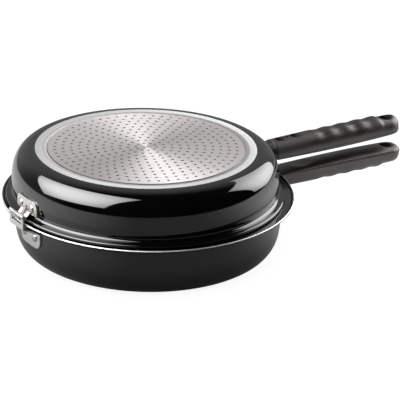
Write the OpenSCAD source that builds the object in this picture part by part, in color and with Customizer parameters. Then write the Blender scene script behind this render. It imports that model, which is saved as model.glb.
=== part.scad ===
// Double-sided flip pan: two pressed aluminium pans that close rim to rim.
// A hook on the upper pan hangs on a steel loop on the lower one, opposite the handles.
// Origin: centre of the lower pan's base. +X points to the handles, +Z up.

/* [Pans] */
// Outer radius of the lower pan's rolled rim
rim_r = 125; // [124:0.25:125.25]
// Height of the lower pan, base to top of rim
lower_h = 48; // [47:0.5:52]
// Height of the upper pan above the lower pan's rim
upper_h = 41.2; // [40.8:0.1:44]
// Outer radius of the flat machined base ring
base_r = 94; // [92:0.5:95]
// Height at which the corner has curved up into the straight wall
corner_top = 27; // [25:0.5:28]
// Fullness of the corner: 2 is a plain ellipse, more is squarer
corner_pow = 2.42; // [2.3:0.02:2.6]
// Thickness of the pressed wall
wall_t = 2.8; // [2.4:0.1:3]
// Thickness of the floor
floor_t = 4.2; // [3.6:0.1:4.8]
// How far the upper pan sits off centre, towards the hinge
upper_shift = 3; // [2.8:0.05:3.2]

/* [Rims] */
// Radius of the lower rim's rolled bead
lower_bead = 1.2; // [1:0.05:1.3]
// Radius of the upper rim's rolled bead
upper_bead = 1.5; // [1.3:0.05:1.5]
// Outer radius of the upper pan's rim, which nests inside the lower rim
upper_rim_r = 118.8; // [118.2:0.1:119]
// Gap between the upper rim and the ledge it lies on
seat_gap = 0.4; // [0.3:0.05:0.5]

/* [Induction disc] */
// Radius of the perforated steel disc
disc_r = 83.4; // [82:0.1:84]
// Thickness of the disc
disc_t = 0.8; // [0.6:0.1:1]
// Radius of each hole
hole_r = 1.25; // [0.8:0.05:1.4]
// Distance between rings of holes
ring_pitch = 6.85; // [6.6:0.05:6.9]

/* [Handles] */
// Half the distance between the two handles' centre lines
handle_half = 13.4; // [13.2:0.1:14]
// Where the grip ends
grip_x1 = 274.6; // [272:0.2:277]
// Width of the grip in the palm
grip_w = 25.4; // [25:0.2:26.4]
// Height of the flat side above the grip's centre line
flat_h = 9.3; // [9:0.1:9.8]
// Depth of the grooved side below the grip's centre line
hull_h = 10.3; // [9.8:0.1:10.8]
// Depth of the finger grooves
groove_d = 0.9; // [0.6:0.05:1.1]
// Distance between finger grooves
groove_pitch = 17.8; // [17.4:0.1:18]
// Radius of the hanging hole
hang_r = 5.8; // [5.2:0.1:6]

/* [Hinge] */
// Height of the loop's bar above the lower rim
bar_h = 6; // [5.9:0.05:6.2]
// Radius of the loop's bar
bar_r = 1.5; // [1.4:0.05:1.6]
// Width of the hook where it passes through the loop
hook_w = 14.4; // [12:0.2:14.8]
// Width of each side of the loop
loop_side = 3.3; // [3:0.1:3.5]
// How far the hook's tip reaches round the bar, in degrees
hook_sweep = 78; // [70:1:90]

/* [Hidden] */

enamel = [0.05, 0.05, 0.055];
steel = [0.78, 0.77, 0.75];
disc_steel = [0.72, 0.69, 0.68];
bakelite = [0.13, 0.125, 0.12];

arc_steps = 10;                    // points along each quarter curve of a profile
corner_steps = 16;
lathe_fn = 144;
hole_fn = 16;
round_fn = 48;

// Pans
total_h = lower_h + upper_h;
wall_r = 113.7;                    // outer radius of the straight part of the wall
wall_top = 9;                      // the straight wall ends this far below the rim's plane
bevel_w = 6.2;                     // width of the flat ring round the base
bevel_h = 0.5;                     // fall of the bevel between ring and disc
disc_clear = 0.05;
nest = 0.6;                        // the upper rim reaches this far below the lower rim's top
ledge_in = wall_r + 1.3;           // where the lower pan's ledge turns down into the wall
ledge_w = 1.5;                     // the ledge ends this far inside the lower bead's centre
lip_in = wall_r + 0.3;             // the same turn on the upper pan
turn_h = 6;                        // height of that turn
lower_bead_c = [rim_r - lower_bead, lower_h - lower_bead];
upper_bead_c = [upper_rim_r - upper_bead, upper_h + nest - upper_bead];
ledge_h = lower_h - nest - seat_gap;

// Rings of holes in the disc, from the outside in
rings = 11;
ring_r = 77.2;
ring_holes = 60;
ring_fewer = 5;                    // each ring has this many holes fewer than the one round it

// Handle fixings, in the handle's own frame: centre line on X, underside facing -Z
lower_handle_z = lower_h + 0.5 - handle_half;
upper_handle_z = upper_h - 0.5 - handle_half;
grip_x0 = 130.5;
tang_w = 14;
tang_t = 4;
tang_x1 = 163;
tang_neck_w = 8.4;
tang_neck_l = 4;
tang_clear = 0.1;
saddle_t = 2.5;
saddle_in = 2.3;                   // the saddle is this much smaller than the grip's section
ferrule_in = 0.6;
ferrule_t = 1.5;
cope_gap = 0.1;
screw_x = [139.5, 156];
screw_r = 2;
screw_seat_z = -3.3;
screw_recess_r = 4.3;
screw_head_r = 3.7;
screw_head_h = 2;
washer_r = 3.9;
washer_t = 0.8;
washer_gap = 0.8;
cross_l = 4;
cross_w = 0.9;
cross_d = 1.1;
handle_rivet_y = 6.7;
handle_rivet = [1.8, 2.2, 1.2, 3]; // shank radius, outer head radius and height, inner head radius
hinge_rivet = [2, 3.6, 1.7, 4];
inner_head_h = 1;
inner_head_gap = 0.08;             // lets a flat head lie on the curved wall

// Grip form, [x, size] at three places along it
end_w_x = 262;
flat_start = [grip_x0, 6.95];
flat_mid_x = 212;
flat_end = [262, 7.95];
hull_start = [grip_x0, 9];
hull_mid_x = 190;
hull_end = [244, 10.9];
tip_w_x = 260;                     // the rounded tip starts here in plan
tip_h_x = 267;                     // and here in side view
hull_pow = 2.4;                    // fullness of the grooved side's section
groove_x0 = 175;
grooves = 4;
step_x = 247.7;                    // the grooved part ends in a low step
step_l = 5;
step_d = 1.8;
parting_z0 = 5.2;                  // the mould's parting line, at the ferrule
parting_fall = 0.016;              // and how fast it runs down to the tip
parting_inset = 0.6;               // inside the ferrule it lies lower by this share of the shrink
part_step = 0.4;                   // the grooved side is this much narrower at the parting line
hang_x = 259.5;
pocket = [268.2, 2.2, 1.8];        // blind hole near the tip: place, radius, depth
dimple_x = 159.7;
dimple_ball = 60;
dimple_d = 1.15;
slot_x = 147.5;
slot_l = 4;
slot_w = 2;
slot_d = 2;
section_half = 16;                 // steps round each half of the grip's section
stations = 52;

// Hinge, heights in the pan's own frame
plate_t = 1.5;
plate_gap = 0.05;
plate_in = wall_r + plate_gap;
plate_corner = 6;
hinge_rivet_angle = 4.39;
lower_plate = [32, 24, 37.6];      // width, low and high edge
lower_rivet_z = 33;
upper_plate = [33, 23.2, 34.6];
upper_rivet_z = 30.3;
bar_x = rim_r + 1.3;
bar_z = lower_h + bar_h;
loop_w = 22.8;
loop_t = 1.6;
strap_t = 1.5;
strap_w = 14;
strap_root = [plate_in + 0.75, 36.8];
strap_end = [bar_x, 43.5];
web_top = lower_h - 0.8;
hook_t = 1.4;
hook_in = bar_r + 0.3;
neck_w = 15;
neck_end = 119.5;
gusset_w = 3;

// ---------- pans ----------

function quarter(steps) = [for (i = [0 : steps]) 90 * i / steps];

// Superellipse corner of a pan: a is 0 on the flat bottom and 90 where the straight wall starts
function corner(a, r, bottom) = [
    base_r + (r - base_r) * pow(sin(a), 2 / corner_pow),
    bottom + (corner_top - bottom) * (1 - pow(cos(a), 2 / corner_pow))
];

// Outside of a pan from its base to the underside of its rim bead, base at height 0
function outside(bead_c, bead, wall_h) = [
    for (t = quarter(corner_steps)) corner(t, wall_r, 0),
    for (t = quarter(arc_steps))
        [wall_r + (bead_c[0] - wall_r) * (1 - cos(t)), wall_h + (bead_c[1] - bead - wall_h) * sin(t)]
];

// Inside of a pan from the turn under its rim down to the floor
function inside(edge_r, edge_h) = [
    for (t = quarter(8))
        [wall_r - wall_t + (edge_r - wall_r + wall_t) * (1 - sin(t)), edge_h - turn_h * (1 - cos(t))],
    for (t = quarter(corner_steps)) corner(90 - t, wall_r - wall_t, floor_t)
];

// Profile from the disc's seat round the outside, over the bead and down the inside
module pan_shell(bead_c, bead, wall_h, step, edge) {
    rotate_extrude($fn = lathe_fn) polygon(concat(
        [[0, disc_t], [disc_r + disc_clear, disc_t], [disc_r + disc_clear, bevel_h], [base_r - bevel_w, 0]],
        outside(bead_c, bead, wall_h),
        [for (a = [-75 : 15 : 90]) bead_c + bead * [cos(a), sin(a)]],
        step,
        inside(edge[0], edge[1]),
        [[0, floor_t]]
    ));
}

// The whole outside of a pan as one solid, a little grown, to cope what meets it
module envelope(bead_c, bead, wall_h, grow) {
    rotate_extrude($fn = lathe_fn) polygon(concat(
        [[0, 0]],
        [for (p = outside(bead_c, bead, wall_h)) p + [grow, -grow]],
        [bead_c + [bead + grow, -bead - grow], bead_c + [bead + grow, bead], [0, bead_c[1] + bead]]
    ));
}

module lower_envelope(grow) {
    envelope(lower_bead_c, lower_bead, lower_h - wall_top, grow);
}

module upper_envelope(grow) {
    envelope(upper_bead_c, upper_bead, upper_h - wall_top, grow);
}

// The upper pan's parts are drawn standing on their base, then turned over and shifted
module upper_place() {
    translate([-upper_shift, 0, total_h]) mirror([0, 0, 1]) children();
}

handle_rivet_angle = asin(handle_rivet_y / wall_r);

// Radial holes for a pair of rivets: angle 0 is the handle's side, 180 the hinge's
module rivet_holes(mid, angle, z, r) {
    for (s = [-1, 1]) rotate([0, 0, mid + s * angle]) translate([wall_r - wall_t - 2, 0, z])
        rotate([0, 90, 0]) cylinder(r = r, h = wall_t + 8, $fn = round_fn);
}

module pan_rivet_holes(handle_z, hinge_z) {
    rivet_holes(0, handle_rivet_angle, handle_z, handle_rivet[0]);
    rivet_holes(180, hinge_rivet_angle, hinge_z, hinge_rivet[0]);
}

module lower_pan() {
    color(enamel) difference() {
        pan_shell(lower_bead_c, lower_bead, lower_h - wall_top, [
            lower_bead_c + [-ledge_w * 0.6, lower_bead * 0.7], [lower_bead_c[0] - ledge_w, ledge_h]
        ], [ledge_in, ledge_h]);
        pan_rivet_holes(lower_handle_z, lower_rivet_z);
    }
}

module upper_pan() {
    color(enamel) upper_place() difference() {
        pan_shell(upper_bead_c, upper_bead, upper_h - wall_top, [], [lip_in, upper_h + nest]);
        pan_rivet_holes(upper_handle_z, upper_rivet_z);
    }
}

// ---------- induction discs ----------

module induction_disc() {
    linear_extrude(disc_t) difference() {
        circle(r = disc_r, $fn = lathe_fn);
        for (k = [0 : rings - 1]) let (n = ring_holes - ring_fewer * k) for (i = [1 : n])
            rotate(360 * (i + (k % 2) / 2) / n) translate([ring_r - ring_pitch * k, 0])
                circle(r = hole_r, $fn = hole_fn);
    }
}

module lower_induction_disc() {
    color(disc_steel) induction_disc();
}

module upper_induction_disc() {
    color(disc_steel) upper_place() induction_disc();
}

// ---------- handles ----------

module lower_handle_place() {
    translate([0, 0, lower_handle_z]) children();
}

module upper_handle_place() {
    upper_place() translate([0, 0, upper_handle_z]) children();
}

// Smooth curve through three points
function through(x, a, b, c) =
    a[1] * (x - b[0]) * (x - c[0]) / ((a[0] - b[0]) * (a[0] - c[0]))
    + b[1] * (x - a[0]) * (x - c[0]) / ((b[0] - a[0]) * (b[0] - c[0]))
    + c[1] * (x - a[0]) * (x - b[0]) / ((c[0] - a[0]) * (c[0] - b[0]));

// Quarter-ellipse fall to nothing between the start of the tip and the end of the grip
function tip(x, from) = sqrt(max(0, 1 - pow(max(0, x - from) / (grip_x1 - from), 2)));

function ease(t) = t <= 0 ? 0 : t >= 1 ? 1 : t * t * (3 - 2 * t);

function groove(x) =
    x < groove_x0 || x > groove_x0 + grooves * groove_pitch ? 0
    : groove_d * pow(sin(180 * (x - groove_x0) / groove_pitch), 2);

function half_width(x) =
    through(x, [grip_x0, grip_w / 2 - 0.2], [hull_mid_x, grip_w / 2], [end_w_x, grip_w / 2 - 0.4])
    * tip(x, tip_w_x);

function flat_height(x) =
    through(x, flat_start, [flat_mid_x, flat_h], flat_end) * tip(x, tip_h_x);

function hull_depth(x) = tip(x, tip_h_x) * (
    through(x, hull_start, [hull_mid_x, hull_h], hull_end)
    - step_d * ease((x - step_x) / step_l) - groove(x)
);

function parting(x) = (parting_z0 - parting_fall * (x - grip_x0)) * tip(x, tip_h_x);

// Section round the X axis: a shallow cap above the parting line, a fuller and narrower hull below
function section(x, shrink) = let (
    w = max(0.9, half_width(x) - shrink),
    mid = parting(x) - parting_inset * shrink,
    cap = max(0.3, flat_height(x) - shrink - mid),
    hull = max(0.4, hull_depth(x) - shrink + mid),
    ledge = 0.1
) [
    for (i = [0 : section_half]) let (a = 180 * i / section_half) [w * cos(a), mid + cap * sin(a)],
    for (i = [0 : section_half]) let (a = 180 * i / section_half, c = cos(a)) [
        -(w - part_step) * sign(c) * pow(abs(c), 2 / hull_pow),
        mid - ledge - (hull - ledge) * pow(sin(a), 2 / hull_pow)
    ]
];

// Stations crowd towards the rounded tip
function station_x(i) = let (s = 1 - i / stations) grip_x1 - 0.1 - (grip_x1 - 0.1 - grip_x0) * pow(s, 1.5);

module grip_body() {
    n = 2 * (section_half + 1);
    polyhedron(
        points = [for (i = [0 : stations]) let (x = station_x(i)) for (p = section(x, 0)) [x, p[0], p[1]]],
        faces = concat(
            [[for (j = [0 : n - 1]) j]],
            [[for (j = [n - 1 : -1 : 0]) stations * n + j]],
            [for (i = [0 : stations - 1], j = [0 : n - 1], half = [0, 1])
                let (a = i * n + j, b = i * n + (j + 1) % n)
                half == 0 ? [a, a + n, b] : [b, a + n, b + n]]
        )
    );
}

module grip() {
    difference() {
        grip_body();
        // Socket for the bracket's tang
        translate([grip_x0 - 1, -tang_w / 2 - tang_clear, -tang_t / 2 - tang_clear])
            cube([tang_x1 - grip_x0 + 1.5, tang_w + 2 * tang_clear, tang_t + 2 * tang_clear]);
        for (x = screw_x) {
            translate([x, 0, screw_seat_z - 20]) cylinder(r = screw_recess_r, h = 20, $fn = round_fn);
            translate([x, 0, screw_seat_z - 1]) cylinder(r = screw_r + 0.15, h = 3, $fn = round_fn);
        }
        // Small moulding slot between the screws
        translate([slot_x - slot_l / 2, -slot_w / 2, -20])
            cube([slot_l, slot_w, 20 - hull_depth(slot_x) + slot_d]);
        // Thumb rest
        translate([dimple_x, 0, flat_height(dimple_x) + dimple_ball - dimple_d])
            sphere(r = dimple_ball, $fn = 96);
        translate([hang_x, 0, -20]) cylinder(r = hang_r, h = 40, $fn = round_fn);
        translate([pocket[0], 0, -20])
            cylinder(r = pocket[1], h = 20 - hull_depth(pocket[0]) + pocket[2], $fn = round_fn);
    }
}

module lower_handle_grip() {
    color(bakelite) lower_handle_place() grip();
}

module upper_handle_grip() {
    color(bakelite) upper_handle_place() grip();
}

// Flame guard: a short tube between pan and grip, hollow round the bracket
module ferrule_tube() {
    translate([wall_r - 4, 0, 0]) rotate([90, 0, 90]) linear_extrude(grip_x0 - wall_r + 4)
        difference() {
            polygon(section(grip_x0, ferrule_in));
            polygon(section(grip_x0, ferrule_in + ferrule_t));
        }
}

module lower_handle_ferrule() {
    color(enamel) difference() {
        lower_handle_place() ferrule_tube();
        lower_envelope(cope_gap);
    }
}

module upper_handle_ferrule() {
    color(enamel) upper_place() difference() {
        translate([0, 0, upper_handle_z]) ferrule_tube();
        upper_envelope(cope_gap);
    }
}

// Bracket: a saddle that follows the wall, and a tang that the grip slides over
module handle_bracket() {
    neck_x = wall_r + saddle_t + handle_rivet[2] + 0.4;
    difference() {
        union() {
            intersection() {
                translate([0, 0, -hull_h]) cylinder(r = wall_r + saddle_t, h = 2 * hull_h, $fn = lathe_fn);
                translate([wall_r - 3, 0, 0]) rotate([90, 0, 90]) linear_extrude(10)
                    polygon(section(grip_x0, saddle_in));
            }
            translate([0, 0, -tang_t / 2]) linear_extrude(tang_t) polygon([
                [wall_r, -tang_neck_w / 2], [neck_x, -tang_neck_w / 2],
                [neck_x + tang_neck_l, -tang_w / 2], [tang_x1, -tang_w / 2],
                [tang_x1, tang_w / 2], [neck_x + tang_neck_l, tang_w / 2],
                [neck_x, tang_neck_w / 2], [wall_r, tang_neck_w / 2]
            ]);
        }
        rivet_holes(0, handle_rivet_angle, 0, handle_rivet[0]);
        for (x = screw_x)
            translate([x, 0, -tang_t]) cylinder(r = screw_r + 0.05, h = 2 * tang_t, $fn = round_fn);
    }
}

module lower_handle_bracket() {
    color(steel) difference() {
        lower_handle_place() handle_bracket();
        lower_envelope(plate_gap);
    }
}

module upper_handle_bracket() {
    color(steel) upper_place() difference() {
        translate([0, 0, upper_handle_z]) handle_bracket();
        upper_envelope(plate_gap);
    }
}

// Rivet along +X: domed head outside the plate, low head inside the pan
module rivet(size, plate) {
    inner_x = wall_r - wall_t - inner_head_gap;
    rotate([0, 90, 0]) rotate_extrude($fn = round_fn) polygon(concat(
        [[0, inner_x - inner_head_h], [size[3] - 0.5, inner_x - inner_head_h],
         [size[3], inner_x - inner_head_h / 2], [size[3], inner_x],
         [size[0], inner_x], [size[0], plate_in + plate]],
        [for (t = quarter(6)) [size[1] * cos(t), plate_in + plate + size[2] * sin(t)]]
    ));
}

module rivet_pair(mid, angle, z, size, plate) {
    for (s = [-1, 1]) rotate([0, 0, mid + s * angle]) translate([0, 0, z]) rivet(size, plate);
}

module lower_handle_rivets() {
    color(steel) rivet_pair(0, handle_rivet_angle, lower_handle_z, handle_rivet, saddle_t - plate_gap);
}

module upper_handle_rivets() {
    color(steel) upper_place()
        rivet_pair(0, handle_rivet_angle, upper_handle_z, handle_rivet, saddle_t - plate_gap);
}

// Pan-head screw with a cross recess, threaded into the tang
module screw() {
    head_z = screw_seat_z - washer_t;
    difference() {
        rotate_extrude($fn = round_fn) polygon([
            [0, head_z - screw_head_h], [screw_head_r - 0.6, head_z - screw_head_h],
            [screw_head_r, head_z - screw_head_h + 0.6], [screw_head_r, head_z],
            [screw_r, head_z], [screw_r, tang_t / 2 - 0.4], [0, tang_t / 2 - 0.4]
        ]);
        for (a = [0, 90]) rotate([0, 0, a])
            translate([-cross_l / 2, -cross_w / 2, head_z - screw_head_h - 1])
                cube([cross_l, cross_w, cross_d + 1]);
    }
}

// Split spring washer under the screw's head
module washer() {
    translate([0, 0, screw_seat_z - washer_t]) difference() {
        cylinder(r = washer_r, h = washer_t, $fn = round_fn);
        translate([0, 0, -1]) cylinder(r = screw_r + 0.15, h = washer_t + 2, $fn = round_fn);
        translate([0, -washer_gap / 2, -1]) cube([washer_r + 1, washer_gap, washer_t + 2]);
    }
}

module lower_handle_screws() {
    color(steel) lower_handle_place() for (x = screw_x) translate([x, 0, 0]) screw();
}

module upper_handle_screws() {
    color(steel) upper_handle_place() for (x = screw_x) translate([x, 0, 0]) screw();
}

module lower_handle_washers() {
    color(steel) lower_handle_place() for (x = screw_x) translate([x, 0, 0]) washer();
}

module upper_handle_washers() {
    color(steel) upper_handle_place() for (x = screw_x) translate([x, 0, 0]) washer();
}

// ---------- hinge ----------

// Curved plate against the wall at the hinge, its corners rounded on the side of the pan's base
module wall_plate(size) {
    low = size[1] + plate_corner;
    intersection() {
        translate([0, 0, size[1] - 1]) difference() {
            cylinder(r = plate_in + plate_t, h = size[2] - size[1] + 2, $fn = lathe_fn);
            translate([0, 0, -1]) cylinder(r = plate_in, h = size[2] - size[1] + 4, $fn = lathe_fn);
        }
        translate([-wall_r - 6, 0, 0]) rotate([90, 0, 90]) linear_extrude(12) union() {
            for (s = [-1, 1]) translate([s * (size[0] / 2 - plate_corner), low])
                circle(r = plate_corner, $fn = round_fn);
            translate([-size[0] / 2 + plate_corner, size[1]])
                square([size[0] - 2 * plate_corner, size[2] - size[1]]);
            translate([-size[0] / 2, low]) square([size[0], size[2] - low]);
        }
    }
}

// Strip of sheet steel seen from the side: u runs outward along -X, v is height
module strip(w, path, t) {
    translate([0, w / 2, 0]) mirror([1, 0, 0]) rotate([90, 0, 0]) linear_extrude(w) union() {
        for (i = [0 : len(path) - 2]) let (d = path[i + 1] - path[i])
            translate(path[i]) rotate(atan2(d[1], d[0])) translate([0, -t / 2]) square([norm(d), t]);
        if (len(path) > 2) for (i = [1 : len(path) - 2]) translate(path[i]) circle(r = t / 2, $fn = round_fn);
    }
}

module lower_hinge_loop() {
    post_z = strap_end[1] - strap_t / 2;
    color(steel) difference() {
        union() {
            wall_plate(lower_plate);
            // Slanting strap, widening towards the loop
            intersection() {
                strip(loop_w, [strap_root, strap_end], strap_t);
                linear_extrude(lower_h) polygon([
                    [-plate_in, -strap_w / 2], [-bar_x + 3, -loop_w / 2 + 0.8], [-bar_x, -loop_w / 2],
                    [-bar_x, loop_w / 2], [-bar_x + 3, loop_w / 2 - 0.8], [-plate_in, strap_w / 2]
                ]);
            }
            // Foot of the loop, its two sides and the bar the hook hangs on
            translate([-bar_x - loop_t / 2, -loop_w / 2, post_z]) cube([loop_t, loop_w, web_top - post_z]);
            for (y = [-loop_w / 2, loop_w / 2 - loop_side])
                translate([-bar_x - loop_t / 2, y, post_z]) cube([loop_t, loop_side, bar_z - post_z]);
            translate([-bar_x, loop_w / 2, bar_z]) rotate([90, 0, 0])
                cylinder(r = bar_r, h = loop_w, $fn = round_fn);
        }
        rivet_holes(180, hinge_rivet_angle, lower_rivet_z, hinge_rivet[0]);
    }
}

module lower_hinge_rivets() {
    color(steel) rivet_pair(180, hinge_rivet_angle, lower_rivet_z, hinge_rivet, plate_t);
}

module upper_hinge_hook() {
    bar_u = bar_x - upper_shift;
    bar_v = upper_h - bar_h;
    tongue_v = bar_v + hook_in + hook_t / 2;
    root_v = upper_plate[2] - 0.6;
    root_u = plate_in + plate_t / 2;
    color(steel) upper_place() difference() {
        union() {
            wall_plate(upper_plate);
            // Neck leans out over the rim and runs level to the loop
            strip(neck_w, [
                [root_u, root_v - 0.2], [root_u, root_v], [root_u + 3.7, tongue_v], [neck_end, tongue_v]
            ], hook_t);
            strip(hook_w, [[neck_end - 1, tongue_v], [bar_u, tongue_v]], hook_t);
            // Curl round the bar
            translate([-bar_u, hook_w / 2, bar_v]) rotate([90, 0, 0]) rotate([0, 0, 90])
                rotate_extrude(angle = hook_sweep, $fn = 2 * round_fn)
                    translate([hook_in, 0]) square([hook_t, hook_w]);
            // Pressed gusset across the bend
            translate([0, gusset_w / 2, 0]) mirror([1, 0, 0]) rotate([90, 0, 0])
                linear_extrude(gusset_w) polygon([
                    [root_u, root_v - 5.5], [root_u + 1, root_v - 5.5], [neck_end - 0.5, tongue_v - 0.6],
                    [neck_end - 2, tongue_v], [root_u + 0.5, root_v]
                ]);
        }
        rivet_holes(180, hinge_rivet_angle, upper_rivet_z, hinge_rivet[0]);
        upper_envelope(plate_gap);
    }
}

module upper_hinge_rivets() {
    color(steel) upper_place() rivet_pair(180, hinge_rivet_angle, upper_rivet_z, hinge_rivet, plate_t);
}

lower_pan();
lower_induction_disc();
lower_handle_bracket();
lower_handle_rivets();
lower_handle_ferrule();
lower_handle_grip();
lower_handle_screws();
lower_handle_washers();
lower_hinge_loop();
lower_hinge_rivets();
upper_pan();
upper_induction_disc();
upper_handle_bracket();
upper_handle_rivets();
upper_handle_ferrule();
upper_handle_grip();
upper_handle_screws();
upper_handle_washers();
upper_hinge_hook();
upper_hinge_rivets();
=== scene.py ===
"""Looks of the double-sided flip pan: smooth pans and grips, finishes, studio and camera."""
import math

import bmesh
import bpy
from mathutils import Matrix, Vector


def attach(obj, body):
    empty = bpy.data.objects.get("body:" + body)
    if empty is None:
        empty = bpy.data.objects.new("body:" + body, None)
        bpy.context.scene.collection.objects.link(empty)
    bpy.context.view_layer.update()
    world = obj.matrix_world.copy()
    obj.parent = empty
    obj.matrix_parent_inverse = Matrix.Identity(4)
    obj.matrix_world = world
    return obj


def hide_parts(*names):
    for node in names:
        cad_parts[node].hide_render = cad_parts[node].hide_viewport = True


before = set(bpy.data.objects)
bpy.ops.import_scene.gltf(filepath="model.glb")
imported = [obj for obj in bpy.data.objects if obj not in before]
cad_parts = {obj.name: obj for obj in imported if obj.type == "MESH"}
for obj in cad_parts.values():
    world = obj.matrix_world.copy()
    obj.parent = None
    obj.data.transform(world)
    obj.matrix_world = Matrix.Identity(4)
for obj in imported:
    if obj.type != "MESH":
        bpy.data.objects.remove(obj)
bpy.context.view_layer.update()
MM = 0.001

# ---------------------------------------------------------------- sizes, as in the CAD source (mm)
RIM_R, LOWER_H, UPPER_H = 125.0, 48.0, 41.2
BASE_R, WALL_R, WALL_T, FLOOR_T = 94.0, 113.7, 2.8, 4.2
CORNER_TOP, CORNER_POW = 27.0, 2.42
SHIFT, NEST, SEAT = 3.0, 0.6, 0.4
LOWER_BEAD, UPPER_BEAD, UPPER_RIM_R = 1.2, 1.5, 118.8
DISC_R, DISC_T, RING_W = 83.4, 0.8, 6.2
TOTAL_H = LOWER_H + UPPER_H
LOWER_HANDLE_Z, UPPER_HANDLE_Z = LOWER_H + 0.5 - 13.4, UPPER_H - 0.5 - 13.4
GRIP_X0, GRIP_X1 = 130.5, 274.6
TIP_W_X, TIP_H_X, HULL_POW, PART_STEP = 260.0, 267.0, 2.4, 0.4
STEP_X, STEP_L, STEP_D = 247.7, 5.0, 1.8
GROOVE_X0, GROOVE_PITCH, GROOVE_D = 175.0, 17.8, 0.9
SCREW_X, SEAT_Z, HANG_X, HANG_R = (139.5, 156.0), -3.3, 259.5, 5.8
POCKET, SLOT = (268.2, 2.2, 1.8), (147.5, 4.0, 2.0, 2.0)
REST_X, REST_BALL, REST_D = 159.7, 60.0, 1.15

LOWER_PLACE = Matrix.Identity(4)
UPPER_PLACE = Matrix.Translation((-SHIFT * MM, 0, TOTAL_H * MM)) @ Matrix.Diagonal((1, 1, -1, 1))


# ---------------------------------------------------------------- materials
class Nodes:
    """A material's node tree with short calls for the nodes used here."""

    def __init__(self, name):
        self.mat = bpy.data.materials.new(name)
        self.mat.use_nodes = True
        self.tree = self.mat.node_tree
        self.bsdf = self.tree.nodes["Principled BSDF"]
        self.out = self.tree.nodes["Material Output"]
        self.coord = self.add("ShaderNodeTexCoord")

    def add(self, kind, **props):
        n = self.tree.nodes.new(kind)
        for k, v in props.items():
            setattr(n, k, v)
        return n

    def link(self, a, b):
        self.tree.links.new(a, b)

    def set(self, **values):
        for k, v in values.items():
            self.bsdf.inputs[k.replace("_", " ")].default_value = v

    def noise(self, scale, detail=3.0, rough=0.55, vector=None, stretch=None):
        n = self.add("ShaderNodeTexNoise")
        n.inputs["Scale"].default_value = scale
        n.inputs["Detail"].default_value = detail
        n.inputs["Roughness"].default_value = rough
        src = vector or self.coord.outputs["Object"]
        if stretch:
            m = self.add("ShaderNodeMapping")
            m.inputs["Scale"].default_value = stretch
            self.link(src, m.inputs["Vector"])
            src = m.outputs["Vector"]
        self.link(src, n.inputs["Vector"])
        return n.outputs["Fac"]

    def ramp(self, fac, *stops):
        r = self.add("ShaderNodeValToRGB")
        el = r.color_ramp.elements
        while len(el) < len(stops):
            el.new(0.5)
        for e, (pos, col) in zip(el, stops):
            e.position = pos
            e.color = (*col, 1) if len(col) == 3 else (col[0],) * 3 + (1,)
        self.link(fac, r.inputs["Fac"])
        return r.outputs["Color"]

    def span(self, fac, lo, hi, a, b):
        m = self.add("ShaderNodeMapRange")
        m.inputs["From Min"].default_value = lo
        m.inputs["From Max"].default_value = hi
        m.inputs["To Min"].default_value = a
        m.inputs["To Max"].default_value = b
        self.link(fac, m.inputs["Value"])
        return m.outputs["Result"]

    def math(self, op, a, b=None):
        m = self.add("ShaderNodeMath", operation=op)
        for i, v in enumerate((a, b)):
            if v is None:
                continue
            if isinstance(v, (int, float)):
                m.inputs[i].default_value = v
            else:
                self.link(v, m.inputs[i])
        return m.outputs["Value"]

    def radius(self, cx=0.0):
        """Distance from the pan's axis, in metres."""
        s = self.add("ShaderNodeSeparateXYZ")
        self.link(self.coord.outputs["Object"], s.inputs["Vector"])
        x = self.math("SUBTRACT", s.outputs["X"], cx) if cx else s.outputs["X"]
        xx = self.math("MULTIPLY", x, x)
        yy = self.math("MULTIPLY", s.outputs["Y"], s.outputs["Y"])
        return self.math("SQRT", self.math("ADD", xx, yy))

    def rings(self, cx, scale, detail=6.0):
        """Noise that varies only with the distance from the axis: turned marks."""
        c = self.add("ShaderNodeCombineXYZ")
        self.link(self.radius(cx), c.inputs["X"])
        return self.noise(scale, detail, 0.7, c.outputs["Vector"])

    def bump(self, height, distance, strength=1.0, normal=None):
        b = self.add("ShaderNodeBump")
        b.inputs["Distance"].default_value = distance
        b.inputs["Strength"].default_value = strength
        self.link(height, b.inputs["Height"])
        if normal:
            self.link(normal, b.inputs["Normal"])
        return b.outputs["Normal"]

    def to(self, socket, value):
        self.link(value, self.bsdf.inputs[socket])


def lacquer(name, rough, peel):
    """Black gloss lacquer over aluminium: deep black, faint orange peel, a little dust."""
    m = Nodes(name)
    cloud = m.noise(18, 4)
    speck = m.noise(900, 2)
    m.to("Base Color", m.ramp(cloud, (0.3, (0.0016, 0.0016, 0.0019)), (0.75, (0.0030, 0.0029, 0.0032))))
    haze = m.span(m.noise(55, 5), 0.35, 0.75, rough, rough * 1.7)
    dust = m.span(speck, 0.7, 0.8, 0.0, 0.06)
    m.to("Roughness", m.math("ADD", haze, dust))
    m.to("Normal", m.bump(m.noise(140, 2), peel))
    m.set(IOR=1.5, Specular_IOR_Level=1.0)
    return m.mat


def nonstick():
    """Matt non-stick coating with its fine mineral speckle."""
    m = Nodes("nonstick_coating")
    grain = m.noise(2600, 3)
    fleck = m.noise(1100, 1)
    m.to("Base Color", m.ramp(fleck, (0.3, (0.017, 0.017, 0.018)), (0.66, (0.024, 0.024, 0.025)),
                              (0.74, (0.075, 0.074, 0.072))))
    m.to("Roughness", m.span(m.noise(60, 4), 0.3, 0.7, 0.34, 0.46))
    m.to("Normal", m.bump(grain, 0.00004))
    return m.mat


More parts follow.
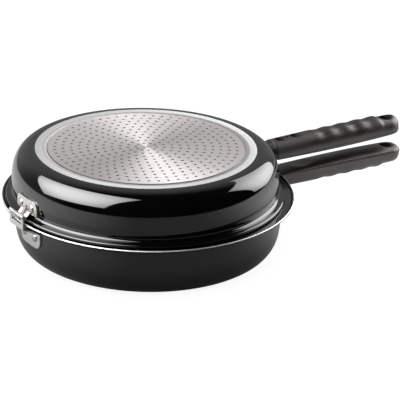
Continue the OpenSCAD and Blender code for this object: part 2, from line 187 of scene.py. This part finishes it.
def turned_metal(name, cx, dark, pale, rough, aniso, marks, turn=0.0):
    """Turned metal: fine concentric marks, lit in sectors because the marks run round the axis."""
    m = Nodes(name)
    fine = m.rings(cx, 2600)
    broad = m.rings(cx, 420, 2)
    m.to("Base Color", m.ramp(fine, (0.3, dark), (0.7, pale)))
    m.to("Roughness", m.span(broad, 0.3, 0.7, rough * 0.85, rough * 1.15))
    m.to("Normal", m.bump(fine, marks))
    tan = m.add("ShaderNodeTangent", direction_type="RADIAL", axis="Z")
    m.to("Tangent", tan.outputs["Tangent"])
    m.set(Metallic=0.8, Anisotropic=aniso, Anisotropic_Rotation=turn)
    return m.mat


def stamped_steel(name, tone, rough, edge=0.0):
    """Bright stamped sheet: rolling marks and small scuffs."""
    m = Nodes(name)
    roll = m.noise(900, 4, 0.6, stretch=(1, 1, 0.06))
    scuff = m.noise(700, 5, 0.6)
    m.to("Base Color", m.ramp(scuff, (0.3, [c * 0.88 for c in tone]), (0.6, tone)))
    m.to("Roughness", m.math("ADD", m.span(roll, 0.3, 0.7, rough * 0.7, rough * 1.2),
                             m.span(scuff, 0.6, 0.8, 0.0, 0.1)))
    soft = None
    if edge:
        soft = m.add("ShaderNodeBevel", samples=6)
        soft.inputs["Radius"].default_value = edge
        soft = soft.outputs["Normal"]
    m.to("Normal", m.bump(roll, 0.00001, normal=soft))
    m.set(Metallic=1.0)
    return m.mat


def bakelite():
    """Moulded phenolic: warm black, fine sand texture, worn a touch smoother in places."""
    m = Nodes("moulded_bakelite")
    mottle = m.noise(45, 5)
    grain = m.noise(2300, 2, 0.6)
    pit = m.noise(520, 3, 0.6)
    m.to("Base Color", m.ramp(mottle, (0.3, (0.0080, 0.0062, 0.0050)), (0.72, (0.0150, 0.0120, 0.0100))))
    m.to("Roughness", m.span(m.noise(30, 4), 0.3, 0.7, 0.32, 0.46))
    m.set(Specular_IOR_Level=1.0, Specular_Tint=(1.0, 0.96, 0.91, 1))
    m.to("Normal", m.bump(pit, 0.00008, 0.5, m.bump(grain, 0.00004)))
    return m.mat


def painted(name):
    """Black stoving paint on steel."""
    m = Nodes(name)
    m.to("Base Color", m.ramp(m.noise(70, 4), (0.3, (0.011, 0.011, 0.0115)), (0.75, (0.017, 0.0168, 0.0168))))
    m.to("Roughness", m.span(m.noise(90, 4), 0.3, 0.7, 0.2, 0.34))
    m.to("Normal", m.bump(m.noise(1500, 2), 0.00002))
    return m.mat


LACQUER_UP = lacquer("gloss_lacquer", 0.045, 0.00001)
LACQUER_LOW = lacquer("satin_lacquer", 0.12, 0.00002)
NONSTICK = nonstick()
# Dark and pale tone, roughness, anisotropy, depth of the turned marks, turn of the streaks
BASE_FINISH = ((0.66, 0.66, 0.665), (0.84, 0.84, 0.845), 0.42, 0.3, 0.000004)
DISC_FINISH = ((0.56, 0.525, 0.515), (0.82, 0.775, 0.765), 0.3, 0.85, 0.000006, 0.875)
SEAT_FINISH = ((0.4, 0.385, 0.38), (0.56, 0.54, 0.53), 0.45, 0.2, 0.00001)
UPPER_AXIS_X = -SHIFT * MM
BASE_LOW = turned_metal("machined_base_lower", 0.0, *BASE_FINISH)
BASE_UP = turned_metal("machined_base_upper", UPPER_AXIS_X, *BASE_FINISH)
DISC_LOW = turned_metal("turned_disc_lower", 0.0, *DISC_FINISH)
DISC_UP = turned_metal("turned_disc_upper", UPPER_AXIS_X, *DISC_FINISH)
SEAT_LOW = turned_metal("disc_seat_lower", 0.0, *SEAT_FINISH)
SEAT_UP = turned_metal("disc_seat_upper", UPPER_AXIS_X, *SEAT_FINISH)
RIM_METAL = stamped_steel("bare_rim", (0.72, 0.72, 0.72), 0.52)
HINGE_STEEL = stamped_steel("hinge_steel", (0.68, 0.665, 0.645), 0.36, 0.00035)
BRACKET_STEEL = stamped_steel("bracket_steel", (0.5, 0.5, 0.5), 0.38)
SCREW_STEEL = stamped_steel("screw_steel", (0.2, 0.2, 0.2), 0.3)
RIVET_METAL = stamped_steel("rivet_aluminium", (0.5, 0.49, 0.48), 0.2)
BAKELITE = bakelite()
FERRULE_BLACK = painted("ferrule_paint")


# ---------------------------------------------------------------- mesh helpers
def new_object(name, verts, faces, mats, indices=None, place=LOWER_PLACE):
    """Smooth-shaded object from points in millimetres of the frame that place carries to the CAD frame."""
    me = bpy.data.meshes.new(name)
    me.from_pydata([place @ Vector((x * MM, y * MM, z * MM)) for x, y, z in verts], [], faces)
    for m in mats:
        me.materials.append(m)
    if indices:
        me.polygons.foreach_set("material_index", indices)
    me.polygons.foreach_set("use_smooth", [True] * len(me.polygons))
    me.update()
    bm = bmesh.new()
    bm.from_mesh(me)
    bmesh.ops.recalc_face_normals(bm, faces=bm.faces)
    bm.to_mesh(me)
    bm.free()
    ob = bpy.data.objects.new(name, me)
    bpy.context.scene.collection.objects.link(ob)
    return ob


def crease(ob, degrees):
    """Sharp edges where faces meet at more than the angle; smooth elsewhere."""
    me = ob.data
    bm = bmesh.new()
    bm.from_mesh(me)
    for e in bm.edges:
        if len(e.link_faces) == 2 and e.calc_face_angle(0) > math.radians(degrees):
            e.smooth = False
    bm.to_mesh(me)
    bm.free()


def lathe(name, profile, mats, place, segments=288):
    """Closed revolve of [(r, z, material of the face after it)]; points with r 0 are poles."""
    verts, faces, idx, rows = [], [], [], []
    for r, z, _ in profile:
        if r < 1e-6:
            rows.append([len(verts)])
            verts.append((0, 0, z))
        else:
            rows.append(list(range(len(verts), len(verts) + segments)))
            verts += [(r * math.cos(2 * math.pi * k / segments), r * math.sin(2 * math.pi * k / segments), z)
                      for k in range(segments)]
    for i in range(len(profile) - 1):
        a, b = rows[i], rows[i + 1]
        for k in range(segments):
            k2 = (k + 1) % segments
            if len(a) == 1 and len(b) == 1:
                continue
            if len(a) == 1:
                faces.append((a[0], b[k], b[k2]))
            elif len(b) == 1:
                faces.append((a[k], a[k2], b[0]))
            else:
                faces.append((a[k], a[k2], b[k2], b[k]))
            idx.append(profile[i][2])
    ob = new_object(name, verts, faces, mats, idx, place)
    crease(ob, 28)
    return ob


# ---------------------------------------------------------------- pans
def quarter(n):
    return [math.pi / 2 * i / n for i in range(n + 1)]


def neck_in(z, neck):
    """How far the wall draws in above the height neck[0], ahead of the flare to the rim."""
    u = z - neck[0]
    return 0.0 if u <= 0 else neck[1] * (u - 1.2 * (1 - math.exp(-u / 1.2)))


def pan_profile(bead_c, bead, wall_h, step, edge, bare, neck):
    """Profile of a pan standing on its base, as (r, z, slot of the face after it).
    Slots: 0 lacquer, 1 machined base, 2 coating, 3 bare rim, 4 seat of the disc."""
    p = 2 / CORNER_POW
    # The base takes the first BASE_POINTS points; a dark line runs round the disc
    out = [(0, DISC_T, 4), (DISC_R + 0.05, DISC_T, 0), (DISC_R + 0.7, 0.46, 4), (BASE_R - RING_W, 0.03, 1),
           (BASE_R - RING_W + 0.3, 0, 1), (BASE_R - 0.15, 0, 0), (BASE_R + 0.15, 0.05, 0)]
    for t in quarter(40)[2:]:
        out.append((BASE_R + (WALL_R - BASE_R) * math.sin(t) ** p, CORNER_TOP * (1 - math.cos(t) ** p), 0))
    heights = [neck[0] + (wall_h - neck[0]) * i / 12 for i in range(12)]
    out += [(WALL_R - neck_in(z, neck), z, 0) for z in heights]
    root = WALL_R - neck_in(wall_h, neck)
    for t in quarter(14):
        out.append((root + (bead_c[0] - root) * (1 - math.cos(t)),
                    wall_h + (bead_c[1] - bead - wall_h) * math.sin(t), 0))
    for a in range(-78, 91, 6):
        out.append((bead_c[0] + bead * math.cos(math.radians(a)), bead_c[1] + bead * math.sin(math.radians(a)),
                    3 if bare[0] <= a < bare[1] else 0))
    out += [(r, z, 0) for r, z in step]
    turn = 6.0
    inner = WALL_R - WALL_T
    for t in quarter(14):
        out.append((inner + (edge[0] - inner) * (1 - math.sin(t)), edge[1] - turn * (1 - math.cos(t)), 2))
    for t in quarter(24):
        out.append((BASE_R + (inner - BASE_R) * math.cos(t) ** p,
                    FLOOR_T + (CORNER_TOP - FLOOR_T) * (1 - math.sin(t) ** p), 2))
    out.append((0, FLOOR_T, 2))
    return out


lower_bead_c = (RIM_R - LOWER_BEAD, LOWER_H - LOWER_BEAD)
upper_bead_c = (UPPER_RIM_R - UPPER_BEAD, UPPER_H + NEST - UPPER_BEAD)
ledge_h = LOWER_H - NEST - SEAT
LOWER_WALL, LOWER_NECK = LOWER_H - 9, (30.0, 0.0)
UPPER_WALL, UPPER_NECK = 35.7, (27.7, 0.158)

lower_profile = pan_profile(
    lower_bead_c, LOWER_BEAD, LOWER_WALL,
    [(lower_bead_c[0] - 0.7, lower_bead_c[1] + 0.95), (lower_bead_c[0] - 1.2, lower_bead_c[1] + 0.5),
     (lower_bead_c[0] - 1.5, ledge_h)], (WALL_R + 1.3, ledge_h), (12, 60), LOWER_NECK)
upper_profile = pan_profile(
    upper_bead_c, UPPER_BEAD, UPPER_WALL, [], (WALL_R + 0.3, UPPER_H + NEST), (0, 0), UPPER_NECK)
BASE_POINTS, JOIN_Z = 6, 2.0
MACHINED = []
for body, place, profile, mats in (
        ("lower", LOWER_PLACE, lower_profile, [LACQUER_LOW, BASE_LOW, NONSTICK, RIM_METAL, SEAT_LOW]),
        ("upper", UPPER_PLACE, upper_profile, [LACQUER_UP, BASE_UP, NONSTICK, RIM_METAL, SEAT_UP])):
    # Machined base, and the lacquered wall with the coated inside. Each is closed by a hidden face
    # in the thickness of the floor.
    join = [(profile[BASE_POINTS - 1][0], JOIN_Z, 0), (0, JOIN_Z, 0)]
    base = lathe(body + "_pan_machined_base", profile[:BASE_POINTS] + join, mats, place)
    pan = lathe(body + "_pan_body", join[::-1] + profile[BASE_POINTS - 1:], mats, place)
    MACHINED.append(base)
    for ob in (base, pan):
        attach(ob, body)
        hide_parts(body + "_pan")


# ---------------------------------------------------------------- grips and ferrules
def through(x, a, b, c):
    """Parabola through three points, at x."""
    return (a[1] * (x - b[0]) * (x - c[0]) / ((a[0] - b[0]) * (a[0] - c[0]))
            + b[1] * (x - a[0]) * (x - c[0]) / ((b[0] - a[0]) * (b[0] - c[0]))
            + c[1] * (x - a[0]) * (x - b[0]) / ((c[0] - a[0]) * (c[0] - b[0])))


def tip(x, start):
    """Quarter-ellipse fall from 1 at start to nothing at the end of the grip."""
    return math.sqrt(max(0.0, 1 - (max(0.0, x - start) / (GRIP_X1 - start)) ** 2))


def ease(t):
    return 0 if t <= 0 else 1 if t >= 1 else t * t * (3 - 2 * t)


def groove(x):
    if x < GROOVE_X0 or x > GROOVE_X0 + 4 * GROOVE_PITCH:
        return 0
    return GROOVE_D * math.sin(math.pi * (x - GROOVE_X0) / GROOVE_PITCH) ** 2


def half_width(x):
    return through(x, (130.5, 12.5), (190, 12.7), (262, 12.3)) * tip(x, TIP_W_X)


def flat_height(x):
    return through(x, (130.5, 6.95), (212, 9.3), (262, 7.95)) * tip(x, TIP_H_X)


def hull_depth(x):
    deep = through(x, (130.5, 9), (190, 10.3), (244, 10.9))
    return (deep - STEP_D * ease((x - STEP_X) / STEP_L) - groove(x)) * tip(x, TIP_H_X)


def parting(x):
    return (5.2 - 0.016 * (x - 130.5)) * tip(x, TIP_H_X)


def section(x, shrink=0.0, half=30):
    """Shallow cap above the mould's parting line, fuller and narrower hull below it."""
    w = max(0.9, half_width(x) - shrink)
    mid = parting(x) - 0.6 * shrink
    cap = max(0.3, flat_height(x) - shrink - mid)
    hull = max(0.4, hull_depth(x) - shrink + mid)
    angles = [math.pi * i / half for i in range(half + 1)]
    p = 2 / HULL_POW
    return [(w * math.cos(a), mid + cap * math.sin(a)) for a in angles] + [
        (-(w - PART_STEP) * math.copysign(abs(math.cos(a)) ** p, math.cos(a)),
         mid - 0.1 - (hull - 0.1) * max(0.0, math.sin(a)) ** p) for a in angles]


def tube(rings, cap_start=True, cap_end=True):
    """Faces of a tube through rings of equal length."""
    n = len(rings[0])
    verts = [p for r in rings for p in r]
    faces = [(i * n + j, i * n + (j + 1) % n, (i + 1) * n + (j + 1) % n, (i + 1) * n + j)
             for i in range(len(rings) - 1) for j in range(n)]
    if cap_start:
        faces.append(tuple(range(n)))
    if cap_end:
        faces.append(tuple((len(rings) - 1) * n + j for j in reversed(range(n))))
    return verts, faces


def rod(x, r, z0, z1, n=64):
    return tube([[(x + r * math.cos(2 * math.pi * k / n), r * math.sin(2 * math.pi * k / n), z) for k in range(n)]
                 for z in (z0, z1)])


def ball_cap(x, ball, low, n=96):
    """Underside of a large ball whose lowest point is at height low."""
    arcs = [0.0008 + 0.3 * i / 30 for i in range(31)]
    return tube([[(x + ball * math.sin(t) * math.cos(2 * math.pi * k / n),
                   ball * math.sin(t) * math.sin(2 * math.pi * k / n), low + ball * (1 - math.cos(t)))
                  for k in range(n)] for t in arcs])


def brick(x0, x1, w, z0, z1):
    v = [(x, y, z) for z in (z0, z1) for x, y in ((x0, -w / 2), (x1, -w / 2), (x1, w / 2), (x0, w / 2))]
    return v, [(0, 1, 2, 3), (7, 6, 5, 4), (0, 4, 5, 1), (1, 5, 6, 2), (2, 6, 7, 3), (3, 7, 4, 0)]


def cut(ob, tools):
    for t in tools:
        mod = ob.modifiers.new("cut", "BOOLEAN")
        mod.operation, mod.solver, mod.object = "DIFFERENCE", "EXACT", t
        bpy.context.view_layer.objects.active = ob
        bpy.ops.object.modifier_apply(modifier=mod.name)
        me = t.data
        bpy.data.objects.remove(t)
        bpy.data.meshes.remove(me)


def grip_stations():
    xs = [GRIP_X0, GRIP_X0 + 0.25, GRIP_X0 + 0.7]
    xs += [GRIP_X0 + 1.5 + (GRIP_X1 - 14 - GRIP_X0 - 1.5) * i / 120 for i in range(121)]
    xs += [GRIP_X1 - 14 + 13.9 * math.sin(math.pi / 2 * i / 30) for i in range(1, 31)]
    return xs


def lip(x, y, z):
    """Rounding of the mouths of the screw recesses and of the hanging hole."""
    for hx, hr, depth in ((SCREW_X[0], 4.3, 0.25), (SCREW_X[1], 4.3, 0.25), (HANG_X, HANG_R, 0.5)):
        d = math.hypot(x - hx, y) - hr
        if d < 1.6 and (z < 0 or hx == HANG_X):
            z -= math.copysign(depth * (1 - ease(max(0.0, d) / 1.6)), z)
    return z


def grip(name, place, handle_z):
    rings = [[(x, y, lip(x, y, z) + handle_z) for y, z in section(x, (0.5, 0.15, 0.0)[min(i, 2)])]
             for i, x in enumerate(grip_stations())]
    ob = new_object(name, *tube(rings), [BAKELITE], None, place)
    low = handle_z - 20
    slot_x, slot_l, slot_w, slot_d = SLOT
    shapes = [rod(x, 4.3, low, handle_z + SEAT_Z) for x in SCREW_X]
    shapes += [rod(HANG_X, HANG_R, low, handle_z + 20),
               rod(POCKET[0], POCKET[1], low, handle_z - hull_depth(POCKET[0]) + POCKET[2]),
               brick(slot_x - slot_l / 2, slot_x + slot_l / 2, slot_w, low, handle_z - hull_depth(slot_x) + slot_d),
               ball_cap(REST_X, REST_BALL, handle_z + flat_height(REST_X) - REST_D)]
    cut(ob, [new_object("cutter", v, f, [BAKELITE], None, place) for v, f in shapes])
    crease(ob, 30)
    return ob


def pan_radius(z, bead_c, bead, wall_h, neck):
    """Outer radius of the pan at height z, own frame."""
    if z <= CORNER_TOP:
        w = 1 - z / CORNER_TOP
        return BASE_R + (WALL_R - BASE_R) * (1 - w ** CORNER_POW) ** (1 / CORNER_POW)
    root = WALL_R - neck_in(min(z, wall_h), neck)
    s = min(1.0, max(0.0, z - wall_h) / (bead_c[1] - bead - wall_h))
    return root + (bead_c[0] - root) * (1 - math.sqrt(1 - s * s))


def ferrule(name, place, handle_z, *wall):
    """Collar coped to the pan's wall, with a rolled edge towards the grip."""
    def ring(shrink, end, near=None):
        pts = []
        for y, z in section(GRIP_X0, shrink):
            r = pan_radius(z + handle_z, *wall)
            x0 = math.sqrt(max(0.0, r * r - y * y)) + 0.12
            x = x0 + near if near is not None else end
            pts.append((x, y, z + handle_z))
        return pts
    rings = [ring(2.1, GRIP_X0), ring(0.95, GRIP_X0), ring(0.65, GRIP_X0 - 0.25), ring(0.6, GRIP_X0 - 0.7),
             ring(0.6, 124.0), ring(0.6, 0, 0.5), ring(0.75, 0, 0.12), ring(1.2, 0, 0.0), ring(2.1, 0, 0.0)]
    verts, faces = tube(rings, False, False)
    n = len(rings[0])
    last = (len(rings) - 1) * n
    faces += [(last + j, last + (j + 1) % n, (j + 1) % n, j) for j in range(n)]
    ob = new_object(name, verts, faces, [FERRULE_BLACK], None, place)
    crease(ob, 40)
    return ob


for body, place, hz, *wall in (
        ("lower", LOWER_PLACE, LOWER_HANDLE_Z, lower_bead_c, LOWER_BEAD, LOWER_WALL, LOWER_NECK),
        ("upper", UPPER_PLACE, UPPER_HANDLE_Z, upper_bead_c, UPPER_BEAD, UPPER_WALL, UPPER_NECK)):
    g = grip(body + "_grip_moulding", place, hz)
    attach(g, body)
    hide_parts(body + "_handle_grip")
    f = ferrule(body + "_ferrule_collar", place, hz, *wall)
    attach(f, body)
    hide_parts(body + "_handle_ferrule")


# ---------------------------------------------------------------- CAD nodes that stay
def finish_node(node, mat):
    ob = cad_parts[node]
    for s in ob.material_slots:
        s.material = mat


for node, mat in {
    "lower_induction_disc": DISC_LOW, "upper_induction_disc": DISC_UP,
    "lower_handle_bracket": BRACKET_STEEL, "upper_handle_bracket": BRACKET_STEEL,
    "lower_handle_rivets": RIVET_METAL, "upper_handle_rivets": RIVET_METAL,
    "lower_handle_screws": SCREW_STEEL, "upper_handle_screws": SCREW_STEEL,
    "lower_handle_washers": SCREW_STEEL, "upper_handle_washers": SCREW_STEEL,
    "lower_hinge_loop": HINGE_STEEL, "upper_hinge_hook": HINGE_STEEL,
    "lower_hinge_rivets": RIVET_METAL, "upper_hinge_rivets": RIVET_METAL,
}.items():
    finish_node(node, mat)


# ---------------------------------------------------------------- studio
def direction(az, el):
    a, e = math.radians(az), math.radians(el)
    return Vector((math.sin(a) * math.cos(e), -math.cos(a) * math.cos(e), math.sin(e)))


TARGET = Vector((0.0, 0.0, 0.06))


def softbox(name, az, el, roll, dist, span_u, span_v, radiance, seen):
    """Lamp facing the pans, its edges given as tangents from the direction (az, el).
    A seen one shows only in reflections, the other kind lights only."""
    facing = direction(az, el)
    side = Vector((math.cos(math.radians(az)), math.sin(math.radians(az)), 0.0))
    rise = facing.cross(side)
    c, s = math.cos(math.radians(roll)), math.sin(math.radians(roll))
    side, rise = side * c + rise * s, rise * c - side * s
    data = bpy.data.lights.new(name, "AREA")
    data.shape = "RECTANGLE"
    data.size, data.size_y = (span_u[1] - span_u[0]) * dist, (span_v[1] - span_v[0]) * dist
    data.energy = radiance * math.pi * data.size * data.size_y
    if seen:
        # Brightest in the middle, dimmer towards the corners
        data.use_nodes = True
        t = data.node_tree
        geo, off, size, rng = [t.nodes.new("ShaderNode" + k) for k in
                               ("NewGeometry", "VectorMath", "VectorMath", "MapRange")]
        off.operation, size.operation = "SUBTRACT", "LENGTH"
        off.inputs[1].default_value = (0.5, 0.5, 0.0)
        t.links.new(geo.outputs["Parametric"], off.inputs[0])
        t.links.new(off.outputs["Vector"], size.inputs[0])
        t.links.new(size.outputs["Value"], rng.inputs["Value"])
        rng.interpolation_type = "SMOOTHSTEP"
        for k, v in (("From Min", 0.1), ("From Max", 0.72), ("To Min", 1.0), ("To Max", 0.4)):
            rng.inputs[k].default_value = v
        t.links.new(rng.outputs["Result"], t.nodes["Emission"].inputs["Strength"])
    ob = bpy.data.objects.new(name, data)
    mid = facing + side * (sum(span_u) / 2) + rise * (sum(span_v) / 2)
    place = TARGET + mid * dist
    ob.matrix_world = Matrix((
        (side.x, rise.x, facing.x, place.x), (side.y, rise.y, facing.y, place.y),
        (side.z, rise.z, facing.z, place.z), (0, 0, 0, 1)))
    ob.visible_camera = False
    ob.visible_glossy = seen
    ob.visible_diffuse = not seen
    bpy.context.scene.collection.objects.link(ob)
    return ob


def receivers(lamp, objects, state):
    """Light linking: the lamp lights only these objects, or all but these."""
    group = bpy.data.collections.new(lamp.name + "_receivers")
    for ob in objects:
        group.objects.link(ob)
    for entry in group.collection_objects:
        entry.light_linking.link_state = state
    lamp.light_linking.receiver_collection = group


LEFT_BOX = (-102, 50.4, 18.4, 3.0, (-0.87, 0.57), (-0.82, 0.40))
RIGHT_BOX = (120.2, 35.1, 71.9, 3.0, (-0.97, 0.15), (-0.04, 1.11))
FILL = 1.6
# Flat bare metal mirrors a lamp whole, so it gets dimmer ones than the lacquer
BARE = MACHINED + [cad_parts[n] for n in ("lower_induction_disc", "upper_induction_disc")]
for lamp_name, box, lacquer_level, bare_level in (
        ("left_box", LEFT_BOX, 8.8, 1.4), ("right_box", RIGHT_BOX, 5.4, 2.2)):
    receivers(softbox(lamp_name + "_seen", *box, lacquer_level, True), BARE, "EXCLUDE")
    receivers(softbox(lamp_name + "_discs", *box, bare_level, True), BARE, "INCLUDE")
softbox("left_box_fill", *LEFT_BOX, FILL, False)
softbox("right_box_fill", *RIGHT_BOX, FILL, False)
softbox("top_fill", 150, 75, 0, 1.5, (-0.5, 0.5), (-0.5, 0.5), 0.5, False)

WALL_SPAN = ((-0.9, 0.9), (-0.3, 0.5))
for lamp_name, az, el, spans, level in (
        ("far_wall_discs", 150, 20, WALL_SPAN, 0.42),
        ("near_wall_discs", -34, 20, WALL_SPAN, 0.3),
        ("streak_discs", 120, 34, ((-0.3, 0.3), (-0.3, 0.3)), 4.6)):
    receivers(softbox(lamp_name, az, el, 0, 3.0, *spans, level, True), BARE, "INCLUDE")

world = bpy.data.worlds.new("studio")
bpy.context.scene.world = world
world.use_nodes = True
world.cycles.sampling_method = "NONE"
wt = world.node_tree
wt.nodes.clear()


def wnode(kind, **props):
    n = wt.nodes.new("ShaderNode" + kind)
    for k, v in props.items():
        setattr(n, k, v)
    return n


def wlobe(az, el, lo, hi, strength):
    """Brightness round a direction, from nothing at cosine lo to the full strength at hi."""
    dot = wnode("VectorMath", operation="DOT_PRODUCT")
    dot.inputs[1].default_value = direction(az, el)
    wt.links.new(wcoord.outputs["Generated"], dot.inputs[0])
    rng = wnode("MapRange", interpolation_type="SMOOTHSTEP")
    for k, v in (("From Min", lo), ("From Max", hi), ("To Min", 0.0), ("To Max", strength)):
        rng.inputs[k].default_value = v
    wt.links.new(dot.outputs["Value"], rng.inputs["Value"])
    return rng.outputs["Result"]


def wadd(a, b):
    n = wnode("Math", operation="ADD")
    wt.links.new(a, n.inputs[0])
    wt.links.new(b, n.inputs[1])
    return n.outputs["Value"]


def wback(strength):
    n = wnode("Background")
    if isinstance(strength, float):
        n.inputs["Strength"].default_value = strength
    else:
        wt.links.new(strength, n.inputs["Strength"])
    n.inputs["Color"].default_value = (1, 1, 1, 1)
    return n.outputs["Background"]


def wmix(fac, a, b):
    n = wnode("MixShader")
    wt.links.new(fac, n.inputs["Fac"])
    wt.links.new(a, n.inputs[1])
    wt.links.new(b, n.inputs[2])
    return n.outputs["Shader"]


# Plain light for matt surfaces, a dark room with a pale far wall for glossy ones, white for the camera
path = wnode("LightPath")
wcoord = wnode("TexCoord")
room = wadd(wlobe(150, 20, 0.45, 0.95, 0.3), wlobe(-150, 8, 0.6, 0.98, 0.12))
shade = wmix(path.outputs["Is Glossy Ray"], wback(0.5), wback(room))
wout = wnode("OutputWorld")
wt.links.new(wmix(path.outputs["Is Camera Ray"], shade, wback(1.0)), wout.inputs["Surface"])

# Floor: keeps its real shadow, and its glow makes it white to the camera. In reflections its glow is painted light,
# brighter under each softbox, with painted shadow near the pan
fm = Nodes("floor_white")
fm.set(Base_Color=(0.28, 0.28, 0.28, 1), Roughness=0.9)
fm.bsdf.inputs["Specular IOR Level"].default_value = 0.0
fpath = fm.add("ShaderNodeLightPath")
away = fm.add("ShaderNodeVectorMath", operation="NORMALIZE")
fm.link(fm.coord.outputs["Object"], away.inputs[0])


# Painted pool of light, seen only in reflections: the floor glows brighter towards the softbox at az
def painted_pool(az, power, strength):
    dot = fm.add("ShaderNodeVectorMath", operation="DOT_PRODUCT")
    dot.inputs[1].default_value = direction(az, 0)
    fm.link(away.outputs["Vector"], dot.inputs[0])
    lobe = fm.math("POWER", fm.math("MAXIMUM", dot.outputs["Value"], 0.0), power)
    return fm.math("MULTIPLY", lobe, strength)


# Painted shadow in reflections: the glow is dimmed near the pan, from a fifth at 0.11 m to full at 0.26 m, and it
# fades out from 0.9 m to 1.5 m
near = fm.math("MULTIPLY", fm.span(fm.radius(), 0.11, 0.26, 0.2, 1.0), fm.span(fm.radius(), 0.9, 1.5, 1.0, 0.0))
painted_floor_glow = fm.math("MULTIPLY", near, fm.math("ADD", painted_pool(-130, 1.3, 0.95), painted_pool(70, 5.0, 0.85)))
glow = fm.add("ShaderNodeEmission")
fm.link(fm.math("ADD", fm.math("MULTIPLY", fpath.outputs["Is Camera Ray"], 0.9),
                fm.math("MULTIPLY", fpath.outputs["Is Glossy Ray"], painted_floor_glow)), glow.inputs["Strength"])
both = fm.add("ShaderNodeAddShader")
fm.link(fm.bsdf.outputs["BSDF"], both.inputs[0])
fm.link(glow.outputs["Emission"], both.inputs[1])
fm.link(both.outputs["Shader"], fm.out.inputs["Surface"])
FLOOR_R, FLOOR_Z, FLOOR_SIDES = 1900.0, -0.05, 96
turns = [2 * math.pi * k / FLOOR_SIDES for k in range(FLOOR_SIDES)]
edge = [(FLOOR_R * math.cos(t), FLOOR_R * math.sin(t), FLOOR_Z) for t in turns]
floor = new_object("floor", [(0, 0, FLOOR_Z)] + edge,
                   [(0, k + 1, (k + 1) % FLOOR_SIDES + 1) for k in range(FLOOR_SIDES)], [fm.mat])

# ---------------------------------------------------------------- camera
# Fitted to the photo: degrees round and above the pan, metres away, degrees of roll
AZ, EL, DIST, ROLL = -33.83, 22.58, 1.5, 1.66
look = Vector((0.05331, 0.0, 0.0288))
backv = direction(AZ, EL)
right = Vector((math.cos(math.radians(AZ)), math.sin(math.radians(AZ)), 0.0))
up = backv.cross(right)
roll = math.radians(ROLL)
right, up = right * math.cos(roll) + up * math.sin(roll), up * math.cos(roll) - right * math.sin(roll)
cam_data = bpy.data.cameras.new("camera")
cam_data.sensor_width = 36.0  # mm
cam_data.lens = 154.05
cam_data.clip_start, cam_data.clip_end = 0.05, 50
camera = bpy.data.objects.new("camera", cam_data)
camera.matrix_world = Matrix((
    (right.x, up.x, backv.x, look.x + backv.x * DIST),
    (right.y, up.y, backv.y, look.y + backv.y * DIST),
    (right.z, up.z, backv.z, look.z + backv.z * DIST),
    (0, 0, 0, 1)))
bpy.context.scene.collection.objects.link(camera)
bpy.context.scene.camera = camera
bpy.context.scene.view_settings.view_transform = "Standard"
